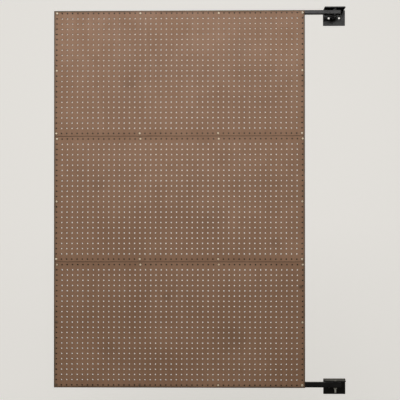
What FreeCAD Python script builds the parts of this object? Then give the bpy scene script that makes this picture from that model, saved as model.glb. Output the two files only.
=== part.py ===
"""Swing-out pegboard panel, 4 ft wide and 6 ft tall, in millimetres.

The wall is the plane y = 0 and the room is towards -Y. X runs right, Z runs up.
The panel hangs from two wall brackets and turns about a vertical line at x = 0.
The origin is on the lower bracket's back face, level with its two wall holes and
straight behind the pivots.
"""

import FreeCAD, Part
import math
import os

from FreeCAD import Vector

os.makedirs("parts", exist_ok=True)

# ---------------------------------------------------------------- driving dimensions
# pegboard
PEG_PITCH = 25.4
PEG_HOLE = 6.35
COLUMNS = 48
ROWS = 24
BOARD_WIDTH = COLUMNS * PEG_PITCH
BOARD_HEIGHT = ROWS * PEG_PITCH
BOARD_THICKNESS = 6.35
SEAM_GAP = 1.5
# the punched columns lean: each row sits this much further left than the row above it
PUNCH_DRIFT = 0.14

# frame tube, all of it one depth so that the boards lie flat on it
TUBE_DEPTH = 19.05
TUBE_WALL = 1.65
TUBE_RADIUS = 2.0
TOP_RAIL_HEIGHT = 19.05
BOTTOM_RAIL_HEIGHT = 25.4
STILE_WIDTH = 19.05
SEAM_RAIL_HEIGHT = 38.1
TOP_RAIL_PROUD = 2.0
BOTTOM_RAIL_INSET = 1.5
ARM_TO_PIVOT = 148.0
ARM_PAST_PIVOT = 27.0
PLUG_CAP = 1.5
PLUG_BODY = 7.0
PLUG_SLACK = 0.05

# wall brackets, steel angle with the shelf on top
SHELF_WIDTH = 100.0
WEB_WIDTH = 108.0
BRACKET_WEB = 76.2
BRACKET_SHELF = 76.2
BRACKET_THICKNESS = 4.76
BRACKET_HEEL_RADIUS = 2.0
BRACKET_INSIDE_RADIUS = 4.0
BRACKET_CORNER_RADIUS = 3.0
WALL_HOLE = 9.5
WALL_HOLE_SPACING = 50.8
COUNTERSINK = 17.0

# pivots, 3/8 inch hardware
PIVOT_FROM_WALL = 66.0
STUD = 9.525
RUNNING_CLEARANCE = 0.05
SLEEVE_OUTSIDE = 12.7
AXIAL_PLAY = 0.25
WASHER_THICKNESS = 1.6
SMALL_WASHER = 20.6
LARGE_WASHER = 25.4
NUT_ACROSS_FLATS = 14.29
SPACER_NUT_HEIGHT = 8.3
JAM_NUT_HEIGHT = 5.6
LOCK_NUT_HEX = 8.0
LOCK_NUT_COLLAR = 3.5
UPPER_STUD_BELOW_ARM = 17.0
LOWER_STUD_BELOW_ARM = 27.0
THREAD_PITCH = 1.5875
THREAD_DEPTH = 0.9

# board screws, truss head
SCREW_HEAD = 9.6
SCREW_HEAD_HEIGHT = 2.3
SCREW_SHANK = 4.2
SCREW_LENGTH = 15.0
PILOT = 4.3
SCREW_COLUMNS = (0, 16, 31, 47)

# ---------------------------------------------------------------- derived positions
PANEL_RIGHT = -ARM_TO_PIVOT
PANEL_LEFT = PANEL_RIGHT - BOARD_WIDTH
PANEL_CENTRE = (PANEL_LEFT + PANEL_RIGHT) / 2
PIVOT_Y = -PIVOT_FROM_WALL
TUBE_FRONT = PIVOT_Y - TUBE_DEPTH / 2
TUBE_BACK = PIVOT_Y + TUBE_DEPTH / 2
BOARD_FRONT = TUBE_FRONT - BOARD_THICKNESS

BRACKET_LEFT = -SHELF_WIDTH / 2
WALL_HOLES_X = BRACKET_LEFT + WEB_WIDTH / 2

LOWER_SHELF_TOP = BRACKET_WEB / 2
LOWER_SHELF_UNDER = LOWER_SHELF_TOP - BRACKET_THICKNESS
BOTTOM_RAIL_TOP = LOWER_SHELF_UNDER - WASHER_THICKNESS - AXIAL_PLAY
BOTTOM_RAIL_UNDER = BOTTOM_RAIL_TOP - BOTTOM_RAIL_HEIGHT
BOARDS_BOTTOM = BOTTOM_RAIL_UNDER - BOTTOM_RAIL_INSET
BOARD_STEP = BOARD_HEIGHT + SEAM_GAP
BOARDS_TOP = BOARDS_BOTTOM + 3 * BOARD_HEIGHT + 2 * SEAM_GAP
TOP_RAIL_TOP = BOARDS_TOP + TOP_RAIL_PROUD
TOP_RAIL_UNDER = TOP_RAIL_TOP - TOP_RAIL_HEIGHT
UPPER_STACK = SPACER_NUT_HEIGHT + 2 * WASHER_THICKNESS + AXIAL_PLAY
UPPER_SHELF_UNDER = TOP_RAIL_TOP + UPPER_STACK
UPPER_SHELF_TOP = UPPER_SHELF_UNDER + BRACKET_THICKNESS
UPPER_BRACKET_Z = UPPER_SHELF_TOP - BRACKET_WEB / 2

# name, underside and row of the screw half way up each side, from the top board down
BOARDS = (
    ("board_top", BOARDS_BOTTOM + 2 * BOARD_STEP, 11),
    ("board_middle", BOARDS_BOTTOM + BOARD_STEP, 12),
    ("board_bottom", BOARDS_BOTTOM, 11),
)
SEAM_MIDDLES = (
    BOARDS_BOTTOM + 2 * BOARD_HEIGHT + 1.5 * SEAM_GAP,
    BOARDS_BOTTOM + BOARD_HEIGHT + 0.5 * SEAM_GAP,
)


def save(name, *shapes):
    """Writes one piece, or several alike as one compound, as a STEP file."""
    shape = shapes[0] if len(shapes) == 1 else Part.makeCompound(list(shapes))
    shape.exportStep("parts/" + name + ".step")


# ---------------------------------------------------------------- peg holes and screws
def hole_position(underside, column, row):
    """Middle of a peg hole; row 0 is a board's top row."""
    lean = PUNCH_DRIFT * ((ROWS - 1) / 2 - row)
    x = PANEL_LEFT + (column + 0.5) * PEG_PITCH + lean
    z = underside + BOARD_HEIGHT - (row + 0.5) * PEG_PITCH
    return x, z


def screw_positions(underside, side_row):
    """The peg holes that carry the ten screws of one board."""
    places = []
    for row in (0, ROWS - 1):
        for column in SCREW_COLUMNS:
            places.append(hole_position(underside, column, row))
    for column in (0, COLUMNS - 1):
        places.append(hole_position(underside, column, side_row))
    return places


def all_screw_positions():
    places = []
    for name, underside, side_row in BOARDS:
        places.extend(screw_positions(underside, side_row))
    return places


def make_board(underside):
    """A hardboard sheet with every peg hole punched through it."""
    corners = (
        Vector(PANEL_LEFT, TUBE_FRONT, underside),
        Vector(PANEL_RIGHT, TUBE_FRONT, underside),
        Vector(PANEL_RIGHT, TUBE_FRONT, underside + BOARD_HEIGHT),
        Vector(PANEL_LEFT, TUBE_FRONT, underside + BOARD_HEIGHT),
    )
    wires = [Part.makePolygon(list(corners) + [corners[0]])]
    for row in range(ROWS):
        for column in range(COLUMNS):
            x, z = hole_position(underside, column, row)
            centre = Vector(x, TUBE_FRONT, z)
            circle = Part.Circle(centre, Vector(0, -1, 0), PEG_HOLE / 2)
            wires.append(Part.Wire([circle.toShape()]))
    face = Part.Face(wires, "Part::FaceMakerBullseye")
    return face.extrude(Vector(0, -BOARD_THICKNESS, 0))


def make_screw(x, z):
    """Truss head screw, its head on the board and its point inside the tube."""
    half = SCREW_HEAD / 2
    rise = SCREW_HEAD_HEIGHT
    shank = SCREW_SHANK / 2
    outline = [
        Vector(0, -SCREW_LENGTH, 0),
        Vector(shank, 3.0 - SCREW_LENGTH, 0),
        Vector(shank, 0, 0),
        Vector(half, 0, 0),
        Vector(half, 0.17 * rise, 0),
        Vector(0.87 * half, 0.48 * rise, 0),
        Vector(0.66 * half, 0.77 * rise, 0),
        Vector(0.42 * half, 0.94 * rise, 0),
        Vector(0.2 * half, rise, 0),
        Vector(0, rise, 0),
        Vector(0, -SCREW_LENGTH, 0),
    ]
    face = Part.Face(Part.makePolygon(outline))
    solid = face.revolve(Vector(0, 0, 0), Vector(0, 1, 0), 360)
    # cross recess in the middle of the head
    long_slot = Part.makeBox(4.6, 3.0, 0.9, Vector(-2.3, rise - 1.5, -0.45))
    tall_slot = Part.makeBox(0.9, 3.0, 4.6, Vector(-0.45, rise - 1.5, -2.3))
    solid = solid.cut(long_slot.fuse(tall_slot).removeSplitter())
    solid.rotate(Vector(0, 0, 0), Vector(0, 0, 1), 180)
    solid.translate(Vector(x, BOARD_FRONT, z))
    return solid


# ---------------------------------------------------------------- tube
def rounded_rectangle(width, height, radius):
    """A face on XY, middle at the origin."""
    block = Part.makeBox(width, height, 1.0, Vector(-width / 2, -height / 2, 0))
    upright = [e for e in block.Edges if abs(e.Vertexes[0].Z - e.Vertexes[1].Z) > 0.5]
    if radius > 0:
        block = block.makeFillet(radius, upright)
    for face in block.Faces:
        if abs(face.CenterOfMass.z) < 1e-6:
            return face
    raise ValueError("no base face")


def tube(width, height, length):
    """Hollow section along +Z with its middle line on the axis."""
    outside = rounded_rectangle(width, height, TUBE_RADIUS)
    inside = rounded_rectangle(width - 2 * TUBE_WALL, height - 2 * TUBE_WALL, 0.5)
    along = Vector(0, 0, length)
    return outside.extrude(along).cut(inside.extrude(along))


def tube_along_x(height, left, right, middle_z):
    shape = tube(TUBE_DEPTH, height, right - left)
    # the section's X becomes Y and its Y becomes Z
    matrix = FreeCAD.Matrix(0, 0, 1, left, 1, 0, 0, PIVOT_Y, 0, 1, 0, middle_z, 0, 0, 0, 1)
    return shape.transformGeometry(matrix)


def tube_along_z(width, bottom, top, middle_x):
    shape = tube(width, TUBE_DEPTH, top - bottom)
    shape.translate(Vector(middle_x, PIVOT_Y, bottom))
    return shape


def pilot_holes(shape):
    """Drills the front wall of a frame member wherever a board screw enters it."""
    box = shape.BoundBox
    for x, z in all_screw_positions():
        if box.XMin < x < box.XMax and box.ZMin < z < box.ZMax:
            start = Vector(x, TUBE_FRONT - 1.0, z)
            shape = shape.cut(Part.makeCylinder(PILOT / 2, TUBE_DEPTH / 2, start, Vector(0, 1, 0)))
    return shape


def make_rail(height, underside):
    """A top or bottom rail, which runs on as the arm and is bored for its pivot sleeve."""
    right = ARM_PAST_PIVOT - PLUG_CAP
    rail = tube_along_x(height, PANEL_LEFT + PLUG_CAP, right, underside + height / 2)
    bore = Part.makeCylinder(SLEEVE_OUTSIDE / 2, height + 4, Vector(0, PIVOT_Y, underside - 2))
    return pilot_holes(rail.cut(bore))


def make_sleeve(height, underside):
    outer = Part.makeCylinder(SLEEVE_OUTSIDE / 2, height, Vector(0, PIVOT_Y, underside))
    radius = STUD / 2 + RUNNING_CLEARANCE
    return outer.cut(Part.makeCylinder(radius, height, Vector(0, PIVOT_Y, underside)))


def make_plug(height, underside, end, direction):
    """Plastic plug with a flat cap outside the tube's end and a ribbed stem inside it."""
    cap = rounded_rectangle(TUBE_DEPTH, height, TUBE_RADIUS).extrude(Vector(0, 0, PLUG_CAP))
    cap = cap.makeFillet(0.5, [e for e in cap.Edges if e.BoundBox.ZMin > PLUG_CAP - 1e-6])
    stem_width = TUBE_DEPTH - 2 * TUBE_WALL - 2 * PLUG_SLACK
    stem_height = height - 2 * TUBE_WALL - 2 * PLUG_SLACK
    stem = rounded_rectangle(stem_width - 1.6, stem_height - 1.6, 0.5)
    solid = cap.fuse(stem.extrude(Vector(0, 0, -PLUG_BODY)))
    for depth in (1.5, 4.75):
        fin = rounded_rectangle(stem_width, stem_height, 0.5).extrude(Vector(0, 0, -1.0))
        fin.translate(Vector(0, 0, -depth))
        solid = solid.fuse(fin)
    solid = solid.removeSplitter()
    middle_z = underside + height / 2
    if direction > 0:
        matrix = FreeCAD.Matrix(0, 0, 1, end, 1, 0, 0, PIVOT_Y, 0, 1, 0, middle_z, 0, 0, 0, 1)
    else:
        matrix = FreeCAD.Matrix(0, 0, -1, end, -1, 0, 0, PIVOT_Y, 0, 1, 0, middle_z, 0, 0, 0, 1)
    return solid.transformGeometry(matrix)


# ---------------------------------------------------------------- welds
def corner_bead(x, side, z, up, leg=3.0):
    """Fillet bead in the corner between a stile's side and a rail's flat face."""
    corner = Vector(x, TUBE_FRONT + 2.5, z)
    out = Vector(x + side * leg, TUBE_FRONT + 2.5, z)
    rise = Vector(x, TUBE_FRONT + 2.5, z + up * leg)
    face = Part.Face(Part.makePolygon([corner, out, rise, corner]))
    return face.extrude(Vector(0, TUBE_DEPTH - 5.0, 0))


def back_bead_flat(left, right, z, members):
    """Bead across the back of a stile's end, in the valley beside the rail's round edge."""
    start = Vector(left + 2.2, TUBE_BACK + 0.2, z)
    bead = Part.makeCylinder(1.4, right - left - 4.4, start, Vector(1, 0, 0))
    for member in members:
        bead = bead.cut(member)
    return bead


def back_bead_upright(bottom, top, x, members):
    """Bead down the back of a seam rail's end, in the valley beside the stile's round edge."""
    start = Vector(x, TUBE_BACK + 0.2, bottom + 2.2)
    bead = Part.makeCylinder(1.4, top - bottom - 4.4, start, Vector(0, 0, 1))
    for member in members:
        bead = bead.cut(member)
    return bead


def make_welds(top_rail, bottom_rail, stiles, seam_rails):
    beads = []
    inner_left = PANEL_LEFT + STILE_WIDTH
    inner_right = PANEL_RIGHT - STILE_WIDTH
    for z, up in ((TOP_RAIL_UNDER, -1), (BOTTOM_RAIL_TOP, 1)):
        beads.append(corner_bead(inner_left, 1, z, up))
        beads.append(corner_bead(inner_right, -1, z, up))
        beads.append(corner_bead(PANEL_RIGHT, 1, z, up))
        rail = top_rail if up < 0 else bottom_rail
        beads.append(back_bead_flat(PANEL_LEFT, inner_left, z, (rail, stiles[0])))
        beads.append(back_bead_flat(inner_right, PANEL_RIGHT, z, (rail, stiles[1])))
    half = SEAM_RAIL_HEIGHT / 2
    for middle, rail in zip(SEAM_MIDDLES, seam_rails):
        for z, up in ((middle + half, 1), (middle - half, -1)):
            beads.append(corner_bead(inner_left, 1, z, up))
            beads.append(corner_bead(inner_right, -1, z, up))
        low = middle - half
        high = middle + half
        beads.append(back_bead_upright(low, high, inner_left, (rail, stiles[0])))
        beads.append(back_bead_upright(low, high, inner_right, (rail, stiles[1])))
    solids = []
    for bead in beads:
        solids.extend(bead.Solids)
    return solids


# ---------------------------------------------------------------- brackets and pivots
def make_bracket(middle_z):
    """Angle bracket: a web against the wall, and a shelf on top that carries the stud."""
    top = BRACKET_WEB / 2
    thick = BRACKET_THICKNESS
    left = BRACKET_LEFT
    web = Part.makeBox(WEB_WIDTH, thick, BRACKET_WEB, Vector(left, -thick, -top))
    shelf = Part.makeBox(
        WEB_WIDTH, BRACKET_SHELF, thick, Vector(left, -BRACKET_SHELF, top - thick)
    )
    solid = web.fuse(shelf).removeSplitter()

    def edges_along_x(shape, y, z):
        found = []
        for edge in shape.Edges:
            middle = edge.CenterOfMass
            if edge.Length > WEB_WIDTH - 1 and abs(middle.y - y) < 0.1 and abs(middle.z - z) < 0.1:
                found.append(edge)
        return found

    solid = solid.makeFillet(BRACKET_INSIDE_RADIUS, edges_along_x(solid, -thick, top - thick))
    solid = solid.makeFillet(BRACKET_HEEL_RADIUS, edges_along_x(solid, 0, top))

    # the shelf stops short of the web's right end
    notch = Part.makeBox(
        WEB_WIDTH - SHELF_WIDTH + 1,
        BRACKET_SHELF,
        BRACKET_WEB + 2,
        Vector(left + SHELF_WIDTH, -BRACKET_SHELF - thick, -top - 1),
    )
    solid = solid.cut(notch)

    corners = []
    for edge in solid.Edges:
        middle = edge.CenterOfMass
        through = edge.Length < thick + 0.1
        web_end = abs(middle.x - left) < 0.1 or abs(middle.x - left - WEB_WIDTH) < 0.1
        shelf_end = abs(abs(middle.x) - SHELF_WIDTH / 2) < 0.1
        if through and web_end and abs(middle.z + top) < 0.1:
            corners.append(edge)
        if through and shelf_end and abs(middle.y + BRACKET_SHELF) < 0.1:
            corners.append(edge)
    solid = solid.makeFillet(BRACKET_CORNER_RADIUS, corners)

    sink = (COUNTERSINK - WALL_HOLE) / 2
    into_wall = Vector(0, 1, 0)
    for side in (-1, 1):
        x = WALL_HOLES_X + side * WALL_HOLE_SPACING / 2
        hole = Part.makeCylinder(WALL_HOLE / 2, thick + 2, Vector(x, -thick - 1, 0), into_wall)
        rim = Vector(x, -thick, 0)
        cone = Part.makeCone(COUNTERSINK / 2, WALL_HOLE / 2, sink, rim, into_wall)
        solid = solid.cut(hole).cut(cone)
    stud_hole = Part.makeCylinder(STUD / 2, thick + 2, Vector(0, PIVOT_Y, top - thick - 1))
    solid = solid.cut(stud_hole)
    solid.translate(Vector(0, 0, middle_z))
    return solid


def make_stud(top, bottom, thread_top):
    """Plain pivot pin above, threaded below; its top is welded flush with the shelf."""
    radius = STUD / 2
    root = radius - THREAD_DEPTH
    points = [Vector(0, 0, top), Vector(radius, 0, top), Vector(radius, 0, thread_top)]
    z = thread_top
    while z - THREAD_PITCH > bottom + 1.0:
        points.append(Vector(root, 0, z - THREAD_PITCH / 2))
        points.append(Vector(radius, 0, z - THREAD_PITCH))
        z = z - THREAD_PITCH
    points.append(Vector(root, 0, bottom))
    points.append(Vector(0, 0, bottom))
    points.append(points[0])
    solid = Part.Face(Part.makePolygon(points)).revolve(Vector(0, 0, 0), Vector(0, 0, 1), 360)
    solid.translate(Vector(0, PIVOT_Y, 0))
    return solid


def make_washer(outside, inside, underside):
    disc = Part.makeCylinder(outside / 2, WASHER_THICKNESS, Vector(0, PIVOT_Y, underside))
    return disc.cut(Part.makeCylinder(inside / 2, WASHER_THICKNESS, Vector(0, PIVOT_Y, underside)))


def hexagon(height, underside, turn):
    """Hexagonal block with its corners turned off at both ends."""
    corner = NUT_ACROSS_FLATS / 2 / math.cos(math.radians(30))
    points = []
    for step in range(7):
        angle = math.radians(60 * step + turn)
        points.append(Vector(corner * math.cos(angle), corner * math.sin(angle), 0))
    block = Part.Face(Part.makePolygon(points)).extrude(Vector(0, 0, height))
    bevel = 0.9
    inner = NUT_ACROSS_FLATS / 2 * 0.97
    outline = [
        Vector(0, 0, 0),
        Vector(inner, 0, 0),
        Vector(corner + 0.1, 0, bevel),
        Vector(corner + 0.1, 0, height - bevel),
        Vector(inner, 0, height),
        Vector(0, 0, height),
        Vector(0, 0, 0),
    ]
    turned = Part.Face(Part.makePolygon(outline)).revolve(Vector(0, 0, 0), Vector(0, 0, 1), 360)
    block = block.common(turned)
    block.translate(Vector(0, PIVOT_Y, underside))
    return block


def make_nut(height, underside, turn):
    bore = Part.makeCylinder(STUD / 2, height, Vector(0, PIVOT_Y, underside))
    return hexagon(height, underside, turn).cut(bore)


def make_lock_nut(top, turn):
    """Lock nut, hexagon upwards: a steel body with a collar, and the plastic ring inside it."""
    hex_under = top - LOCK_NUT_HEX
    collar_under = hex_under - LOCK_NUT_COLLAR
    collar = Part.makeCylinder(6.6, LOCK_NUT_COLLAR, Vector(0, PIVOT_Y, collar_under))
    body = hexagon(LOCK_NUT_HEX, hex_under, turn).fuse(collar)
    height = LOCK_NUT_HEX + LOCK_NUT_COLLAR
    body = body.cut(Part.makeCylinder(STUD / 2, height, Vector(0, PIVOT_Y, collar_under)))
    seat = Part.makeCylinder(5.8, 2.4, Vector(0, PIVOT_Y, collar_under + 0.5))
    mouth = Part.makeCylinder(5.3, 0.5, Vector(0, PIVOT_Y, collar_under))
    body = body.cut(seat).cut(mouth).removeSplitter()
    ring = Part.makeCylinder(5.8, 2.4, Vector(0, PIVOT_Y, collar_under + 0.5))
    ring = ring.cut(Part.makeCylinder(STUD / 2, 2.4, Vector(0, PIVOT_Y, collar_under + 0.5)))
    return body, ring


# ---------------------------------------------------------------- the frame
top_rail = make_rail(TOP_RAIL_HEIGHT, TOP_RAIL_UNDER)
bottom_rail = make_rail(BOTTOM_RAIL_HEIGHT, BOTTOM_RAIL_UNDER)
save("top_rail", top_rail)
save("bottom_rail", bottom_rail)

stiles = []
for name, middle_x in (
    ("left_stile", PANEL_LEFT + STILE_WIDTH / 2),
    ("right_stile", PANEL_RIGHT - STILE_WIDTH / 2),
):
    stile = pilot_holes(tube_along_z(STILE_WIDTH, BOTTOM_RAIL_TOP, TOP_RAIL_UNDER, middle_x))
    stiles.append(stile)
    save(name, stile)

seam_rails = []
for name, middle_z in zip(("upper_seam_rail", "lower_seam_rail"), SEAM_MIDDLES):
    left = PANEL_LEFT + STILE_WIDTH
    right = PANEL_RIGHT - STILE_WIDTH
    rail = pilot_holes(tube_along_x(SEAM_RAIL_HEIGHT, left, right, middle_z))
    seam_rails.append(rail)
    save(name, rail)

save("frame_welds", *make_welds(top_rail, bottom_rail, stiles, seam_rails))

for name, height, underside in (
    ("top_rail", TOP_RAIL_HEIGHT, TOP_RAIL_UNDER),
    ("bottom_rail", BOTTOM_RAIL_HEIGHT, BOTTOM_RAIL_UNDER),
):
    save(name + "_left_plug", make_plug(height, underside, PANEL_LEFT + PLUG_CAP, -1))
    save(name + "_arm_plug", make_plug(height, underside, ARM_PAST_PIVOT - PLUG_CAP, 1))

save("upper_pivot_sleeve", make_sleeve(TOP_RAIL_HEIGHT, TOP_RAIL_UNDER))
save("lower_pivot_sleeve", make_sleeve(BOTTOM_RAIL_HEIGHT, BOTTOM_RAIL_UNDER))

# ---------------------------------------------------------------- boards and their screws
for name, underside, side_row in BOARDS:
    save(name, make_board(underside))
    screws = [make_screw(x, z) for x, z in screw_positions(underside, side_row)]
    save(name + "_screws", *screws)

# ---------------------------------------------------------------- upper pivot
save("upper_bracket", make_bracket(UPPER_BRACKET_Z))
nut_top = TOP_RAIL_UNDER - AXIAL_PLAY - WASHER_THICKNESS
stud_end = TOP_RAIL_UNDER - UPPER_STUD_BELOW_ARM
thread_top = nut_top - LOCK_NUT_HEX - LOCK_NUT_COLLAR
save("upper_stud", make_stud(UPPER_SHELF_TOP, stud_end, thread_top))
spacer_under = UPPER_SHELF_UNDER - SPACER_NUT_HEIGHT
save("upper_spacer_nut", make_nut(SPACER_NUT_HEIGHT, spacer_under, 12))
under_nut = spacer_under - WASHER_THICKNESS
save("upper_steel_washer", make_washer(SMALL_WASHER, STUD, under_nut))
save("upper_thrust_washer", make_washer(LARGE_WASHER, STUD, under_nut - WASHER_THICKNESS))
save("upper_under_washer", make_washer(LARGE_WASHER, STUD, nut_top))
lock_nut, lock_ring = make_lock_nut(nut_top, 20)
save("upper_lock_nut", lock_nut)
save("upper_lock_ring", lock_ring)

# ---------------------------------------------------------------- lower pivot
save("lower_bracket", make_bracket(0.0))
nut_top = BOTTOM_RAIL_UNDER - AXIAL_PLAY - WASHER_THICKNESS
stud_end = BOTTOM_RAIL_UNDER - LOWER_STUD_BELOW_ARM
nut_under = nut_top - JAM_NUT_HEIGHT
save("lower_stud", make_stud(LOWER_SHELF_TOP, stud_end, nut_under))
save("lower_thrust_washer", make_washer(LARGE_WASHER, STUD, LOWER_SHELF_UNDER - WASHER_THICKNESS))
save("lower_under_washer", make_washer(SMALL_WASHER, STUD, nut_top))
save("lower_jam_nut", make_nut(JAM_NUT_HEIGHT, nut_under, 5))
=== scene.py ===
"""Looks for the swing-out pegboard panel. Metres, in the CAD model's frame."""

import math
import random

import bmesh
import bpy
from mathutils import Matrix, Vector


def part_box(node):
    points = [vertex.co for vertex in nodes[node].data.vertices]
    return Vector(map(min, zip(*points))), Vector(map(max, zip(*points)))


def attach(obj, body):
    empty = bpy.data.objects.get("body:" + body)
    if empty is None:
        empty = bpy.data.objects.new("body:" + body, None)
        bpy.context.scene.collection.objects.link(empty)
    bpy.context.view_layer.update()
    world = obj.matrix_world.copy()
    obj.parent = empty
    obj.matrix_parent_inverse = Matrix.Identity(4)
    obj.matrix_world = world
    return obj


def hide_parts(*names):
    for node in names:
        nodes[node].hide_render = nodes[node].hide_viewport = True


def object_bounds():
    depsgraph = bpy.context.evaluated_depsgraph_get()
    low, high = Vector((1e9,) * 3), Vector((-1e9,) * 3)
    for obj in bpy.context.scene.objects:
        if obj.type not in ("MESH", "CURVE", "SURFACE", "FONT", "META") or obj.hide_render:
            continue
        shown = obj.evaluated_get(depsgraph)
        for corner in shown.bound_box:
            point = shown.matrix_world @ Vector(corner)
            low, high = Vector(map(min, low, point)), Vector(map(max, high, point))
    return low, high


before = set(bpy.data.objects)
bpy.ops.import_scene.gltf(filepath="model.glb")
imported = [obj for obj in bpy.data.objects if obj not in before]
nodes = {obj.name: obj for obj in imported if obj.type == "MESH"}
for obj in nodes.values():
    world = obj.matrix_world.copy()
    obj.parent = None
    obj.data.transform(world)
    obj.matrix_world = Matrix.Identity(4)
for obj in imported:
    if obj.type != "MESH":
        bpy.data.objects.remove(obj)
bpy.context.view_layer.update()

# ---------------------------------------------------------------- sizes shared with the CAD
PITCH = 0.0254
HOLE = 0.003175
COLUMNS = 48
ROWS = 24
DRIFT = 0.00014
SCREW_COLUMNS = (0, 16, 31, 47)
SIDE_SCREW_ROW = {"board_top": 11, "board_middle": 12, "board_bottom": 11}
HOLE_SIDES = 16
HOLE_LIP = 0.00035
BOARD_EASE = 0.0006
# the board's material slots
FACE, CUT, BACK, HOLE_WALL = range(4)
SCREW_DIRT = (0.070, 0.052, 0.032)


# ---------------------------------------------------------------- node helpers
class Tree:
    """Short names for building a node material."""

    def __init__(self, name):
        self.material = bpy.data.materials.new(name)
        self.material.use_nodes = True
        self.nodes = self.material.node_tree.nodes
        self.links = self.material.node_tree.links
        self.shader = self.nodes["Principled BSDF"]

    def put(self, target, value):
        if isinstance(value, bpy.types.NodeSocket):
            self.links.new(value, target)
        elif value is not None:
            target.default_value = value

    def coordinates(self):
        return self.nodes.new("ShaderNodeTexCoord").outputs["Object"]

    def place(self, scale=(1, 1, 1), offset=(0, 0, 0)):
        node = self.nodes.new("ShaderNodeMapping")
        node.inputs["Scale"].default_value = scale
        node.inputs["Location"].default_value = offset
        self.links.new(self.coordinates(), node.inputs["Vector"])
        return node.outputs["Vector"]

    def noise(self, scale, detail=4.0, stretch=(1, 1, 1), offset=(0, 0, 0), rough=0.55):
        node = self.nodes.new("ShaderNodeTexNoise")
        node.inputs["Scale"].default_value = scale
        node.inputs["Detail"].default_value = detail
        node.inputs["Roughness"].default_value = rough
        self.links.new(self.place(stretch, offset), node.inputs["Vector"])
        return node.outputs["Fac"]

    def cells(self, scale, stretch=(1, 1, 1), feature="F1"):
        node = self.nodes.new("ShaderNodeTexVoronoi")
        node.feature = feature
        node.inputs["Scale"].default_value = scale
        self.links.new(self.place(stretch), node.inputs["Vector"])
        return node.outputs["Distance"]

    def math(self, kind, a, b=None, c=None):
        node = self.nodes.new("ShaderNodeMath")
        node.operation = kind
        for socket, value in zip(node.inputs, (a, b, c)):
            self.put(socket, value)
        return node.outputs[0]

    def ramp(self, value, low, high, from_value=0.0, to_value=1.0):
        """value's run from low to high becomes a smooth run between two other numbers."""
        node = self.nodes.new("ShaderNodeMapRange")
        node.interpolation_type = "SMOOTHSTEP"
        self.put(node.inputs["Value"], value)
        node.inputs["From Min"].default_value = low
        node.inputs["From Max"].default_value = high
        node.inputs["To Min"].default_value = from_value
        node.inputs["To Max"].default_value = to_value
        return node.outputs["Result"]

    def mix(self, share, a, b, kind="MIX"):
        node = self.nodes.new("ShaderNodeMix")
        node.data_type = "RGBA"
        node.blend_type = kind
        self.put(node.inputs["Factor"], share)
        for socket, value in ((node.inputs[6], a), (node.inputs[7], b)):
            if isinstance(value, tuple):
                value = (*value, 1.0)
            self.put(socket, value)
        return node.outputs[2]

    def axes(self):
        node = self.nodes.new("ShaderNodeSeparateXYZ")
        self.links.new(self.coordinates(), node.inputs[0])
        return node.outputs

    def bump(self, height, strength, distance, under=None):
        node = self.nodes.new("ShaderNodeBump")
        node.inputs["Strength"].default_value = strength
        node.inputs["Distance"].default_value = distance
        self.put(node.inputs["Height"], height)
        if under is not None:
            self.put(node.inputs["Normal"], under)
        return node.outputs["Normal"]

    def finish(self, **sockets):
        for name, value in sockets.items():
            name = name.replace("_", " ").title().replace("Ior", "IOR")
            if isinstance(value, tuple):
                value = (*value, 1.0)
            self.put(self.shader.inputs[name], value)
        return self.material


# ---------------------------------------------------------------- hardboard
boards = ("board_top", "board_middle", "board_bottom")
boxes = {name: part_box(name) for name in boards}


def hole_middle(name, column, row):
    low, high = boxes[name]
    lean = DRIFT * ((ROWS - 1) / 2 - row)
    return low.x + (column + 0.5) * PITCH + lean, high.z - (row + 0.5) * PITCH


def hole_distance(tree, name):
    """How far each point of a board is from the middle of its own peg hole, in metres."""
    low, high = boxes[name]
    x, _, z = tree.axes()
    down = tree.math("DIVIDE", tree.math("SUBTRACT", high.z, z), PITCH)
    row = tree.math("FLOOR", down)
    lean = tree.math("MULTIPLY", tree.math("SUBTRACT", (ROWS - 1) / 2, row), DRIFT)
    along = tree.math("SUBTRACT", tree.math("SUBTRACT", x, low.x), lean)
    across = tree.math("SUBTRACT", tree.math("FRACT", tree.math("DIVIDE", along, PITCH)), 0.5)
    up = tree.math("SUBTRACT", tree.math("FRACT", down), 0.5)
    square = tree.math("ADD", tree.math("POWER", across, 2.0), tree.math("POWER", up, 2.0))
    return tree.math("MULTIPLY", tree.math("SQRT", square), PITCH)


def edge_distance(tree, name):
    """How far each point of a board is from the panel's nearest outer edge, in metres."""
    low, high = boxes[name]
    x, _, z = tree.axes()
    away = tree.math(
        "MINIMUM", tree.math("SUBTRACT", x, low.x), tree.math("SUBTRACT", high.x, x)
    )
    if name == "board_top":
        away = tree.math("MINIMUM", away, tree.math("SUBTRACT", high.z, z))
    if name == "board_bottom":
        away = tree.math("MINIMUM", away, tree.math("SUBTRACT", z, low.z))
    return away


def spot(tree, middle, radius, core=0.2):
    """1 at a point of the board's face, fading to 0 at radius."""
    x, _, z = tree.axes()
    wobble = tree.math("MULTIPLY", tree.math("SUBTRACT", tree.noise(40.0), 0.5), radius * 0.9)
    dx = tree.math("POWER", tree.math("SUBTRACT", x, middle[0]), 2.0)
    dz = tree.math("POWER", tree.math("SUBTRACT", z, middle[1]), 2.0)
    distance = tree.math("ADD", tree.math("SQRT", tree.math("ADD", dx, dz)), wobble)
    return tree.ramp(distance, radius * core, radius, 1.0, 0.0)


# stains: share of the way across, share of the way up, radius, depth
STAINS = {
    "board_top": ((0.30, 0.42, 0.050, 0.14), (0.74, 0.70, 0.080, 0.10), (0.55, 0.20, 0.035, 0.16)),
    "board_middle": ((0.18, 0.62, 0.060, 0.12), (0.63, 0.35, 0.090, 0.12), (0.88, 0.15, 0.040, 0.18)),
    "board_bottom": (
        (0.984, 0.80, 0.016, 0.75),
        (0.45, 0.72, 0.030, 0.22),
        (0.70, 0.40, 0.110, 0.14),
        (0.22, 0.30, 0.070, 0.12),
    ),
}


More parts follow.
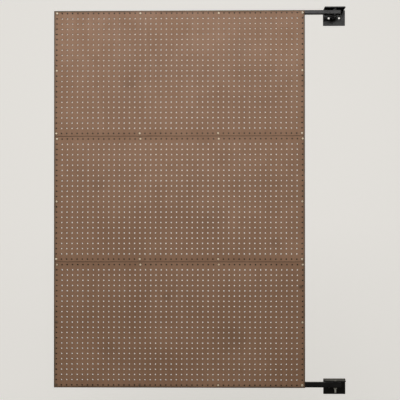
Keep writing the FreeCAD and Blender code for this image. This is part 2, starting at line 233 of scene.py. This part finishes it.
def face_material(name, number):
    tree = Tree("hardboard_face_" + name)
    # each board shows another part of the same noise
    shift = (3.1 * number, 0, 1.7 * number)
    clouds = tree.noise(2.6, 5.0, (1.0, 1, 1.4), shift)
    blotch = tree.noise(11.0, 6.0, (1.0, 1, 0.8), shift, 0.65)
    fibre = tree.noise(420.0, 3.0, (1, 1, 1), (0, 0, 0), 0.7)
    speck = tree.cells(900.0)
    streak = tree.noise(9.0, 4.0, (5.0, 1, 0.25), shift)
    base = tree.mix(tree.ramp(clouds, 0.3, 0.7), (0.268, 0.155, 0.094), (0.322, 0.192, 0.120))
    base = tree.mix(tree.ramp(blotch, 0.35, 0.7, 0.0, 0.5), base, (0.250, 0.143, 0.085))
    base = tree.mix(tree.ramp(streak, 0.52, 0.75, 0.0, 0.26), base, (0.372, 0.234, 0.155))
    base = tree.mix(tree.ramp(fibre, 0.45, 0.72, 0.0, 0.30), base, (0.165, 0.094, 0.055))
    base = tree.mix(tree.ramp(speck, 0.05, 0.22, 0.20, 0.0), base, (0.430, 0.290, 0.200))
    # the rims of the holes are darkened, a painted shade round each hole's lip, and the lip itself shows
    # torn fibre
    away = hole_distance(tree, name)
    # painted shade: a dark ring from the hole's edge out to 1.6 mm
    rim = tree.ramp(away, HOLE, HOLE + 0.0016, 0.65, 0.0)
    base = tree.mix(rim, base, (0.088, 0.052, 0.032))
    loose = tree.ramp(fibre, 0.5, 0.62)
    torn = tree.math("MULTIPLY", tree.ramp(away, HOLE, HOLE + 0.0006, 0.5, 0.0), loose)
    base = tree.mix(torn, base, (0.300, 0.200, 0.135))
    # grime and knocks along the outer edges, and a painted shadow line just inside them
    edge = edge_distance(tree, name)
    worn = tree.ramp(blotch, 0.3, 0.62, 0.35, 1.0)
    grime = tree.math("MULTIPLY", tree.ramp(edge, 0.002, 0.014, 0.70, 0.0), worn)
    base = tree.mix(grime, base, (0.085, 0.060, 0.036))
    # a broken dark line 2 to 5 mm in from the outer edge: painted shadow along the board's edge
    broken = tree.ramp(blotch, 0.2, 0.5, 0.6, 1.0)
    painted_edge_shadow = tree.math("MULTIPLY", tree.ramp(edge, 0.0022, 0.0048, 0.90, 0.0), broken)
    base = tree.mix(painted_edge_shadow, base, (0.050, 0.042, 0.026))
    scuff = tree.math("MULTIPLY", tree.ramp(edge, 0.0, 0.0012, 0.6, 0.0), loose)
    base = tree.mix(scuff, base, (0.300, 0.212, 0.145))
    # dark dirt round each screw head
    dirty = [(column, row, 0.012) for column in SCREW_COLUMNS for row in (0, ROWS - 1)]
    dirty += [(column, SIDE_SCREW_ROW[name], 0.011) for column in (0, COLUMNS - 1)]
    for column, row, radius in dirty:
        ring = spot(tree, hole_middle(name, column, row), radius, 0.3)
        base = tree.mix(tree.math("MULTIPLY", ring, 0.50), base, SCREW_DIRT)
    low, high = boxes[name]
    for x_share, z_share, radius, depth in STAINS[name]:
        middle = (low.x + x_share * (high.x - low.x), low.z + z_share * (high.z - low.z))
        stain = tree.math("MULTIPLY", spot(tree, middle, radius), depth)
        base = tree.mix(stain, base, (0.085, 0.056, 0.035))
    rough = tree.ramp(blotch, 0.25, 0.75, 0.50, 0.66)
    fine = tree.bump(fibre, 0.25, 0.0004)
    broad = tree.bump(tree.noise(60.0, 3.0), 0.12, 0.001, fine)
    return tree.finish(base_color=base, roughness=rough, normal=broad, specular_ior_level=0.22)


def back_material():
    """The side that lay on the press screen: a fine woven print in rougher, paler board."""
    tree = Tree("hardboard_screen_back")
    x, _, z = tree.axes()
    wire = 2 * math.pi / 0.0021
    warp = tree.math("SINE", tree.math("MULTIPLY", x, wire))
    weft = tree.math("SINE", tree.math("MULTIPLY", z, wire))
    weave = tree.math("MULTIPLY", warp, weft)
    clouds = tree.noise(5.0, 6.0)
    fibre = tree.noise(300.0, 4.0)
    base = tree.mix(tree.ramp(clouds, 0.3, 0.7), (0.175, 0.108, 0.070), (0.245, 0.158, 0.106))
    base = tree.mix(tree.ramp(weave, -0.2, 1.0, 0.0, 0.5), base, (0.100, 0.062, 0.040))
    base = tree.mix(tree.ramp(fibre, 0.5, 0.75, 0.0, 0.4), base, (0.330, 0.225, 0.155))
    fuzz = tree.bump(fibre, 0.4, 0.0006)
    print_ = tree.bump(weave, 0.6, 0.0004, fuzz)
    return tree.finish(base_color=base, roughness=0.85, normal=print_, specular_ior_level=0.2)


def cut_material(name, shade):
    """Sawn edges or punched hole walls, with the sheet's pressed layers showing; shade scales the tones
    down, which paints shade into the hole walls.
    """
    tree = Tree(name)
    layers = tree.noise(160.0, 3.0, (1, 14.0, 1))
    fibre = tree.noise(700.0, 3.0)
    tones = ((0.150, 0.094, 0.060), (0.070, 0.042, 0.026), (0.050, 0.030, 0.019))
    pale_layer, dark_layer, gap = (tuple(shade * c for c in tone) for tone in tones)
    base = tree.mix(tree.ramp(layers, 0.35, 0.65), dark_layer, pale_layer)
    base = tree.mix(tree.ramp(fibre, 0.5, 0.7, 0.0, 0.5), base, gap)
    return tree.finish(
        base_color=base, roughness=0.9, normal=tree.bump(fibre, 0.5, 0.0004), specular_ior_level=0.15
    )


def drawn_in(value, low, high):
    """Keeps a point of the flat face clear of the eased edges."""
    return min(max(value, low + BOARD_EASE), high - BOARD_EASE)


def let_out(value, low, high):
    """Moves a point on the flat face's rim out to the board's side, and leaves the others."""
    if value <= low + BOARD_EASE + 1e-9:
        return low
    if value >= high - BOARD_EASE - 1e-9:
        return high
    return value


def build_board(name, materials):
    """One pegboard sheet: eased outer edges, and a sixteen-sided hole in every cell."""
    low, high = boxes[name]
    front, back = low.y, high.y
    vertices = []
    faces = []
    kinds = []
    ring = [
        (math.cos(2 * math.pi * k / HOLE_SIDES), math.sin(2 * math.pi * k / HOLE_SIDES))
        for k in range(HOLE_SIDES)
    ]

    def corner_grid(y):
        """Cell corners over the whole face, the outer ones drawn in by the eased edge."""
        start = len(vertices)
        for row in range(ROWS + 1):
            z = high.z - row * PITCH
            z = drawn_in(z, low.z, high.z)
            for column in range(COLUMNS + 1):
                x = low.x + column * PITCH
                x = drawn_in(x, low.x, high.x)
                vertices.append((x, y, z))
        return start

    grid_front = corner_grid(front)
    grid_back = corner_grid(back)
    wide = COLUMNS + 1

    def loop(cx, cz, radius, y):
        start = len(vertices)
        for c, s in ring:
            vertices.append((cx + radius * c, y, cz + radius * s))
        return start

    def skin(start, corners, flip, kind):
        """Fills between a cell's four corners and its hole's ring."""
        quarter = HOLE_SIDES // 4
        for side in range(4):
            first = side * quarter + quarter // 2
            corner = corners[side]
            following = corners[(side + 1) % 4]
            # the corner's fan reaches an eighth of the ring each way
            for k in range(first - quarter // 2, first + quarter // 2):
                a = start + k % HOLE_SIDES
                b = start + (k + 1) % HOLE_SIDES
                faces.append((b, a, corner) if flip else (a, b, corner))
                kinds.append(kind)
            joint = start + (first + quarter // 2) % HOLE_SIDES
            faces.append((following, joint, corner) if flip else (corner, joint, following))
            kinds.append(kind)

    for row in range(ROWS):
        for column in range(COLUMNS):
            cx, cz = hole_middle(name, column, row)
            top_left = row * wide + column
            # corners at 45, 135, 225 and 315 degrees round the hole, x right and z up
            cell = (top_left + 1, top_left, top_left + wide, top_left + wide + 1)
            mouth = loop(cx, cz, HOLE + HOLE_LIP, front)
            throat = loop(cx, cz, HOLE, front + HOLE_LIP)
            rear = loop(cx, cz, HOLE, back)
            skin(mouth, [grid_front + c for c in cell], False, FACE)
            skin(rear, [grid_back + c for c in cell], True, BACK)
            for k in range(HOLE_SIDES):
                n = (k + 1) % HOLE_SIDES
                faces.append((mouth + n, mouth + k, throat + k, throat + n))
                faces.append((throat + n, throat + k, rear + k, rear + n))
                kinds.extend((HOLE_WALL, HOLE_WALL))

    # the outer edge: an eased corner, then the sawn side
    rim = []
    for column in range(COLUMNS):
        rim.append(column)
    for row in range(ROWS):
        rim.append(row * wide + COLUMNS)
    for column in range(COLUMNS, 0, -1):
        rim.append(ROWS * wide + column)
    for row in range(ROWS, 0, -1):
        rim.append(row * wide)

    def outward(index, y):
        x, _, z = vertices[grid_front + index]
        vertices.append((let_out(x, low.x, high.x), y, let_out(z, low.z, high.z)))
        return len(vertices) - 1

    side_front = [outward(i, front + BOARD_EASE) for i in rim]
    side_back = [outward(i, back - BOARD_EASE) for i in rim]
    for k in range(len(rim)):
        n = (k + 1) % len(rim)
        faces.append((grid_front + rim[k], grid_front + rim[n], side_front[n], side_front[k]))
        faces.append((side_front[k], side_front[n], side_back[n], side_back[k]))
        faces.append((side_back[k], side_back[n], grid_back + rim[n], grid_back + rim[k]))
        kinds.extend((CUT, CUT, CUT))

    mesh = bpy.data.meshes.new("pegboard_" + name)
    mesh.from_pydata(vertices, [], faces)
    for material in materials:
        mesh.materials.append(material)
    mesh.polygons.foreach_set("material_index", kinds)
    mesh.update()
    sheet = bpy.data.objects.new("pegboard_" + name, mesh)
    bpy.context.scene.collection.objects.link(sheet)
    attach(sheet, "swing_panel")
    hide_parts(name)


cut = cut_material("hardboard_sawn_edge", 1.0)
# the hole walls are the sawn edge darkened to 0.35: painted shade inside the holes
shaded_hole_wall = cut_material("hardboard_hole_wall_painted_shade", 0.35)
screen_back = back_material()
for number, name in enumerate(boards):
    build_board(name, (face_material(name, number), cut, screen_back, shaded_hole_wall))


# ---------------------------------------------------------------- metal and plastic
def paint_material(name, chips=0.5, ripple=0.0):
    """Glossy black paint over steel: orange peel, dust, a few scuffs and chips."""
    tree = Tree(name)
    peel = tree.noise(260.0, 2.0)
    dust = tree.noise(24.0, 7.0, rough=0.7)
    wear = tree.noise(75.0, 6.0, rough=0.7)
    scratch = tree.noise(120.0, 4.0, (0.08, 1, 1))
    base = tree.mix(tree.ramp(dust, 0.45, 0.8, 0.0, 0.4), (0.0050, 0.0050, 0.0055), (0.020, 0.019, 0.017))
    base = tree.mix(tree.ramp(scratch, 0.66, 0.72, 0.0, 0.30), base, (0.045, 0.043, 0.040))
    flake = tree.ramp(wear, 0.74, 0.76, 0.0, chips)
    base = tree.mix(flake, base, (0.050, 0.036, 0.028))
    rough = tree.math("ADD", tree.ramp(dust, 0.35, 0.75, 0.28, 0.48), tree.math("MULTIPLY", flake, 0.4))
    normal = tree.bump(peel, 0.10, 0.0006)
    normal = tree.bump(wear, 0.12, 0.0005, normal)
    if ripple:
        normal = tree.bump(tree.noise(500.0, 2.0), ripple, 0.0006, normal)
    return tree.finish(base_color=base, roughness=rough, normal=normal, specular_ior_level=0.40)


def zinc_material(name, tint, dirt):
    """Plated or bare steel: a mottled bloom, brown dirt in places, a fine grain."""
    tree = Tree(name)
    bloom = tree.noise(90.0, 6.0, rough=0.65)
    grain = tree.noise(900.0, 3.0, (1, 1, 0.15))
    base = tree.mix(tree.ramp(bloom, 0.35, 0.7), tint, tuple(0.72 * c for c in tint))
    base = tree.mix(tree.ramp(bloom, 0.62, 0.78, 0.0, dirt), base, (0.15, 0.11, 0.07))
    rough = tree.ramp(bloom, 0.3, 0.75, 0.26, 0.55)
    return tree.finish(base_color=base, metallic=1.0, roughness=rough, normal=tree.bump(grain, 0.2, 0.0003))


def plastic_material(name, colour, worn):
    """Moulded plastic, mottled between two colours."""
    tree = Tree(name)
    mottling = tree.noise(70.0, 5.0)
    texture = tree.noise(1100.0, 2.0)
    base = tree.mix(tree.ramp(mottling, 0.35, 0.75), colour, worn)
    return tree.finish(
        base_color=base,
        roughness=tree.ramp(mottling, 0.3, 0.7, 0.42, 0.62),
        normal=tree.bump(texture, 0.25, 0.0003),
        specular_ior_level=0.45,
    )


def screw_material(name, pale, dirt):
    """Painted screw heads with dirty patches."""
    tree = Tree(name)
    patches = tree.noise(330.0, 4.0, rough=0.6)
    base = tree.mix(tree.ramp(patches, 0.4, 0.75, 0.0, dirt), pale, (0.20, 0.15, 0.09))
    return tree.finish(
        base_color=base,
        roughness=tree.ramp(patches, 0.3, 0.7, 0.35, 0.6),
        normal=tree.bump(patches, 0.2, 0.0004),
        metallic=0.15,
    )


def dress(node, *materials):
    """Gives a CAD node its finish."""
    mesh = nodes[node].data
    mesh.materials.clear()
    for material in materials:
        mesh.materials.append(material)


paint = paint_material("black_frame_paint")
bracket_paint = paint_material("black_bracket_paint", chips=0.8)
# bare steel that stands in for the highlights on the countersink rims
bare_steel_highlight = zinc_material("bare_steel_painted_highlight", (0.60, 0.60, 0.58), 0.4)
bright_zinc = zinc_material("zinc_thread", (0.80, 0.80, 0.77), 0.15)
painted_over = paint_material("black_hardware_paint", chips=0.4)
sleeve_steel = zinc_material("sleeve_steel", (0.42, 0.41, 0.39), 0.7)
nylon = plastic_material("nylon_dark", (0.020, 0.020, 0.021), (0.055, 0.052, 0.048))
cap_plastic = plastic_material("cap_black", (0.006, 0.006, 0.0065), (0.020, 0.019, 0.018))

FINISHES = {
    "_rail": (paint,),
    "_stile": (paint,),
    "_bracket": (bracket_paint, bare_steel_highlight),
    "_plug": (cap_plastic,),
    "_thrust_washer": (nylon,),
    "_lock_ring": (nylon,),
    "_sleeve": (sleeve_steel,),
    "_spacer_nut": (painted_over,),
    "_lock_nut": (painted_over,),
    "_steel_washer": (painted_over,),
    "_under_washer": (painted_over,),
    "_jam_nut": (bright_zinc,),
}
for node in nodes:
    for ending, materials in FINISHES.items():
        if node.endswith(ending):
            dress(node, *materials)
dress("upper_stud", painted_over)
dress("lower_stud", bright_zinc)

WALL_HOLE_OFFSET = 0.0254
COUNTERSINK_RADIUS = 0.0086

# bare steel on one side of each countersink, lower left on the left hole and upper right on the right:
# painted highlights, the crescents where the rims catch the light
for node in ("upper_bracket", "lower_bracket"):
    low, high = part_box(node)
    middle_x = (low.x + high.x) / 2
    middle_z = (low.z + high.z) / 2
    mesh = nodes[node].data
    for polygon in mesh.polygons:
        centre = polygon.center
        side = 1 if centre.x > middle_x else -1
        across = centre.x - middle_x - side * WALL_HOLE_OFFSET
        up = centre.z - middle_z
        sunk = math.hypot(across, up) < COUNTERSINK_RADIUS and 0.3 < abs(polygon.normal.y) < 0.95
        # the side that catches the light gets the bare steel: a painted highlight
        if sunk and side * (across + up) > 0.002:
            polygon.material_index = 1

# ---------------------------------------------------------------- board screws
SCREW_HEAD = 0.0048
SCREW_RISE = 0.0023
SCREW_SHANK = 0.0021
SCREW_LENGTH = 0.015
SCREW_SIDES = 28
DOME_STEPS = 7
RECESS_ARM = 0.0023
RECESS_HALF = 0.00045
# screws that have rusted, by their order on the bottom board
RUSTED = {"board_bottom": (4, 5, 8)}


def screw_template():
    """One truss head screw with a cross recess, its head towards -Y and its seat at y = 0."""
    outline = [(0, SCREW_LENGTH), (SCREW_SHANK, SCREW_LENGTH - 0.003), (SCREW_SHANK, 0), (SCREW_HEAD, 0)]
    for k in range(DOME_STEPS):
        angle = math.pi / 2 * (k + 0.35) / (DOME_STEPS + 0.35)
        outline.append((SCREW_HEAD * math.cos(angle) ** 0.6, -SCREW_RISE * math.sin(angle)))
    outline.append((0, -SCREW_RISE))
    body = bmesh.new()
    rings = []
    for radius, y in outline:
        if radius == 0:
            rings.append([body.verts.new((0, y, 0))])
        else:
            turn = [2 * math.pi * k / SCREW_SIDES for k in range(SCREW_SIDES)]
            points = [(radius * math.cos(t), y, radius * math.sin(t)) for t in turn]
            rings.append([body.verts.new(point) for point in points])
    for first, second in zip(rings, rings[1:]):
        for k in range(SCREW_SIDES):
            n = (k + 1) % SCREW_SIDES
            loop = [ring[i % len(ring)] for ring, i in ((first, k), (first, n), (second, n), (second, k))]
            # a ring of one point gives that point twice, and the face takes it once
            body.faces.new(list(dict.fromkeys(loop)))
    bmesh.ops.recalc_face_normals(body, faces=body.faces)
    mesh = bpy.data.meshes.new("screw_template")
    body.to_mesh(mesh)
    body.free()

    cutter = bmesh.new()
    arm, half = RECESS_ARM, RECESS_HALF
    cross = [
        (arm, half), (half, half), (half, arm), (-half, arm), (-half, half), (-arm, half),
        (-arm, -half), (-half, -half), (-half, -arm), (half, -arm), (half, -half), (arm, -half),
    ]
    near = [cutter.verts.new((x, -SCREW_RISE - 0.001, z)) for x, z in cross]
    deep = [cutter.verts.new((0.6 * x, -SCREW_RISE + 0.0015, 0.6 * z)) for x, z in cross]
    cutter.faces.new(near)
    cutter.faces.new(deep[::-1])
    for k in range(len(cross)):
        n = (k + 1) % len(cross)
        cutter.faces.new((near[k], deep[k], deep[n], near[n]))
    bmesh.ops.recalc_face_normals(cutter, faces=cutter.faces)
    recess = bpy.data.meshes.new("recess_template")
    cutter.to_mesh(recess)
    cutter.free()

    whole = bpy.data.objects.new("screw_whole", mesh)
    tool = bpy.data.objects.new("screw_recess", recess)
    for piece in (whole, tool):
        bpy.context.scene.collection.objects.link(piece)
    cut_out = whole.modifiers.new("recess", "BOOLEAN")
    cut_out.operation = "DIFFERENCE"
    cut_out.solver = "EXACT"
    cut_out.object = tool
    graph = bpy.context.evaluated_depsgraph_get()
    result = bpy.data.meshes.new_from_object(whole.evaluated_get(graph))
    vertices = [v.co.copy() for v in result.vertices]
    faces = [tuple(p.vertices) for p in result.polygons]
    for piece in (whole, tool):
        bpy.data.objects.remove(piece)
    return vertices, faces


def build_screws(name, template, materials):
    """The ten screws of one board, each turned its own way."""
    rng = random.Random(name)
    front = boxes[name][0].y
    places = [(column, row) for row in (0, ROWS - 1) for column in SCREW_COLUMNS]
    places += [(column, SIDE_SCREW_ROW[name]) for column in (0, COLUMNS - 1)]
    vertices = []
    faces = []
    kinds = []
    for order, (column, row) in enumerate(places):
        x, z = hole_middle(name, column, row)
        turned = Matrix.Translation((x, front, z)) @ Matrix.Rotation(rng.uniform(0, math.pi), 4, "Y")
        first = len(vertices)
        vertices.extend(turned @ point for point in template[0])
        faces.extend(tuple(first + index for index in face) for face in template[1])
        kinds.extend([1 if order in RUSTED.get(name, ()) else 0] * len(template[1]))
    mesh = bpy.data.meshes.new("screws_" + name)
    mesh.from_pydata(vertices, [], faces)
    for material in materials:
        mesh.materials.append(material)
    mesh.polygons.foreach_set("material_index", kinds)
    mesh.update()
    for polygon in mesh.polygons:
        polygon.use_smooth = len(polygon.vertices) == 4 and polygon.area > 4e-8
    screws = bpy.data.objects.new("screws_" + name, mesh)
    bpy.context.scene.collection.objects.link(screws)
    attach(screws, "swing_panel")
    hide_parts(name + "_screws")


template = screw_template()
cream = screw_material("screw_cream", (0.86, 0.77, 0.60), 0.40)
rusted = screw_material("screw_rusted", (0.095, 0.062, 0.040), 0.6)
for name in boards:
    build_screws(name, template, (cream, rusted))

# ---------------------------------------------------------------- weld beads
WELD_STEP = 0.0016
WELD_SIDES = 7
WELD_RADIUS = 0.0032
BACK_WELD_RADIUS = 0.0016
WELD_INSET = 0.003
BACK_WELD_INSET = 0.0022
BACK_WELD_DEPTH = 0.0006


def sweep_bead(vertices, faces, start, end, out_a, out_b, radius, rng):
    """A run of overlapping weld ripples between two members whose faces point along a and b."""
    run = end - start
    count = max(4, int(run.length / WELD_STEP) * 3)
    first = len(vertices)
    for i in range(count + 1):
        t = i / count
        ripple = 0.5 + 0.5 * math.cos(2 * math.pi * (i % 3) / 3)
        taper = min(1.0, 6 * t + 0.35, 6 * (1 - t) + 0.35)
        r = radius * (0.86 + 0.14 * ripple) * taper * rng.uniform(0.95, 1.03)
        for k in range(WELD_SIDES):
            angle = math.pi / 2 * k / (WELD_SIDES - 1)
            # a slightly flattened fillet between the two faces
            bulge = r * (0.80 + 0.20 * math.cos(4 * (angle - math.pi / 4)))
            bulge = r * 0.5 + bulge * 0.5
            point = start + run * t
            point = point + out_a * (bulge * math.cos(angle)) + out_b * (bulge * math.sin(angle))
            vertices.append(tuple(point))
        vertices.append(tuple(start + run * t))
    ring = WELD_SIDES + 1
    for i in range(count):
        for k in range(ring):
            a = first + i * ring + k
            b = first + i * ring + (k + 1) % ring
            faces.append((a, b, b + ring, a + ring))
    for i in (0, count):
        faces.append(tuple(first + i * ring + k for k in range(ring)))


def build_welds():
    """The beads that join the frame's tubes: between their sides, and across their backs."""
    rng = random.Random(7)
    vertices = []
    faces = []
    top_low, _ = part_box("top_rail")
    _, bottom_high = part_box("bottom_rail")
    left_low, left_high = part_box("left_stile")
    right_low, right_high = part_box("right_stile")
    front = left_low.y + WELD_INSET
    back = left_high.y - WELD_INSET
    left = left_high.x
    right = right_low.x
    outer = right_high.x

    def through(x, side, z, up):
        """A bead from front to back in the corner between two tubes."""
        sweep_bead(
            vertices, faces, Vector((x, front, z)), Vector((x, back, z)),
            Vector((side, 0, 0)), Vector((0, 0, up)), WELD_RADIUS, rng,
        )

    for z, up in ((top_low.z, -1), (bottom_high.z, 1)):
        through(left, 1, z, up)
        through(right, -1, z, up)
        through(outer, 1, z, up)
    for name in ("upper_seam_rail", "lower_seam_rail"):
        low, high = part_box(name)
        for z, up in ((high.z, 1), (low.z, -1)):
            through(left, 1, z, up)
            through(right, -1, z, up)

    # beads across the backs, in the valleys beside the tubes' round edges
    rear = left_high.y - BACK_WELD_DEPTH
    for z, up in ((top_low.z, 1), (bottom_high.z, -1)):
        for x0, x1 in ((left_low.x, left_high.x), (right_low.x, right_high.x)):
            for side in (1, -1):
                start = Vector((x0 + BACK_WELD_INSET, rear, z))
                end = Vector((x1 - BACK_WELD_INSET, rear, z))
                sweep_bead(
                    vertices, faces, start, end,
                    Vector((0, 0, side)), Vector((0, 1, 0)), BACK_WELD_RADIUS, rng,
                )
    for name in ("upper_seam_rail", "lower_seam_rail"):
        low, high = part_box(name)
        for x in (left, right):
            for side in (1, -1):
                start = Vector((x, rear, low.z + BACK_WELD_INSET))
                end = Vector((x, rear, high.z - BACK_WELD_INSET))
                sweep_bead(
                    vertices, faces, start, end,
                    Vector((side, 0, 0)), Vector((0, 1, 0)), BACK_WELD_RADIUS, rng,
                )
    mesh = bpy.data.meshes.new("weld_beads")
    mesh.from_pydata(vertices, [], faces)
    mesh.materials.append(paint_material("black_weld_paint", chips=0.6, ripple=0.4))
    mesh.update()
    for polygon in mesh.polygons:
        polygon.use_smooth = len(polygon.vertices) == 4
    beads = bpy.data.objects.new("weld_beads", mesh)
    bpy.context.scene.collection.objects.link(beads)
    face_outwards(beads)
    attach(beads, "swing_panel")
    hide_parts("frame_welds")


def face_outwards(piece):
    """Turns every face of a mesh outwards."""
    work = bmesh.new()
    work.from_mesh(piece.data)
    bmesh.ops.recalc_face_normals(work, faces=work.faces)
    work.to_mesh(piece.data)
    work.free()


build_welds()

# ---------------------------------------------------------------- studio
EYE = Vector((-0.5948, -4.18, 0.7403))
FLOOR_DROP = 1.10
FLOOR_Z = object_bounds()[0].z - FLOOR_DROP
BACKDROP_Y = 4.4
REACH = 14.0
WALL_TOP = 9.0


def stage_plane(name, corners, material):
    """A flat piece of the studio, seen by the camera but neither lighting nor shading the object."""
    mesh = bpy.data.meshes.new(name)
    mesh.from_pydata(corners, [], [(0, 1, 2, 3)])
    mesh.materials.append(material)
    piece = bpy.data.objects.new(name, mesh)
    bpy.context.scene.collection.objects.link(piece)
    piece.visible_diffuse = False
    piece.visible_glossy = False
    piece.visible_shadow = False


def upright_plane(name, x0, y0, x1, y1, material):
    corners = [(x0, y0, FLOOR_Z), (x1, y1, FLOOR_Z), (x1, y1, WALL_TOP), (x0, y0, WALL_TOP)]
    stage_plane(name, corners, material)


def pale_material(name):
    """Plain pale paper that glows a little, so it looks even without lamps of its own."""
    tree = Tree(name)
    pale = (0.62, 0.61, 0.59)
    return tree.finish(
        base_color=pale,
        emission_color=pale,
        emission_strength=0.85,
        roughness=0.9,
        specular_ior_level=0.0,
    )


pale = pale_material("studio_pale")
stage_plane(
    "floor",
    [
        (-REACH, -REACH, FLOOR_Z),
        (REACH, -REACH, FLOOR_Z),
        (REACH, BACKDROP_Y, FLOOR_Z),
        (-REACH, BACKDROP_Y, FLOOR_Z),
    ],
    pale,
)
upright_plane("wall_left", -REACH, -REACH, -REACH, BACKDROP_Y, pale)
upright_plane("wall_right", REACH, BACKDROP_Y, REACH, -REACH, pale)
upright_plane("wall_front", REACH, -REACH, -REACH, -REACH, pale)
upright_plane("backdrop", -REACH, BACKDROP_Y, REACH, BACKDROP_Y, pale)

# soft sky light, dimmer from below
world = bpy.data.worlds.new("studio")
world.use_nodes = True
sky = world.node_tree
direction = sky.nodes.new("ShaderNodeTexCoord")
split = sky.nodes.new("ShaderNodeSeparateXYZ")
sky.links.new(direction.outputs["Generated"], split.inputs[0])
fade = sky.nodes.new("ShaderNodeMapRange")
fade.inputs["From Min"].default_value = -0.35
fade.inputs["From Max"].default_value = 0.55
fade.inputs["To Min"].default_value = 0.05
fade.inputs["To Max"].default_value = 0.42
sky.links.new(split.outputs["Z"], fade.inputs["Value"])
sky.nodes["Background"].inputs["Color"].default_value = (1.0, 0.95, 0.82, 1)
sky.links.new(fade.outputs["Result"], sky.nodes["Background"].inputs["Strength"])
bpy.context.scene.world = world


def softbox(name, place, target, size, power, colour=(1, 1, 1)):
    """A rectangular lamp turned to face its target."""
    light = bpy.data.lights.new(name, "AREA")
    light.shape = "RECTANGLE"
    light.size, light.size_y = size
    light.energy = power
    light.color = colour
    lamp = bpy.data.objects.new(name, light)
    lamp.location = place
    lamp.rotation_mode = "QUATERNION"
    lamp.rotation_quaternion = (Vector(target) - Vector(place)).to_track_quat("-Z", "Y")
    bpy.context.scene.collection.objects.link(lamp)


softbox("key", (-1.2, -3.6, 3.4), (-0.75, 0, 1.1), (1.6, 1.6), 118, (1.0, 0.98, 1.0))
softbox("overhead", (0.4, -3.6, 3.0), (-0.3, 0, 1.6), (1.4, 0.8), 14)

# ---------------------------------------------------------------- camera
camera = bpy.data.cameras.new("camera")
camera.sensor_width = 36.0
camera.lens = 76.02
camera.shift_y = 0.08
camera.clip_end = 100
eye = bpy.data.objects.new("camera", camera)
yaw, pitch, roll = (math.radians(angle) for angle in (0.865, 0.275, -0.008))
eye.matrix_world = (
    Matrix.Translation(EYE)
    @ Matrix.Rotation(yaw, 4, "Z")
    @ Matrix.Rotation(math.pi / 2 + pitch, 4, "X")
    @ Matrix.Rotation(roll, 4, "Z")
)
bpy.context.scene.collection.objects.link(eye)
bpy.context.scene.camera = eye
bpy.context.scene.view_settings.view_transform = "Standard"
bpy.context.scene.view_settings.look = "None"
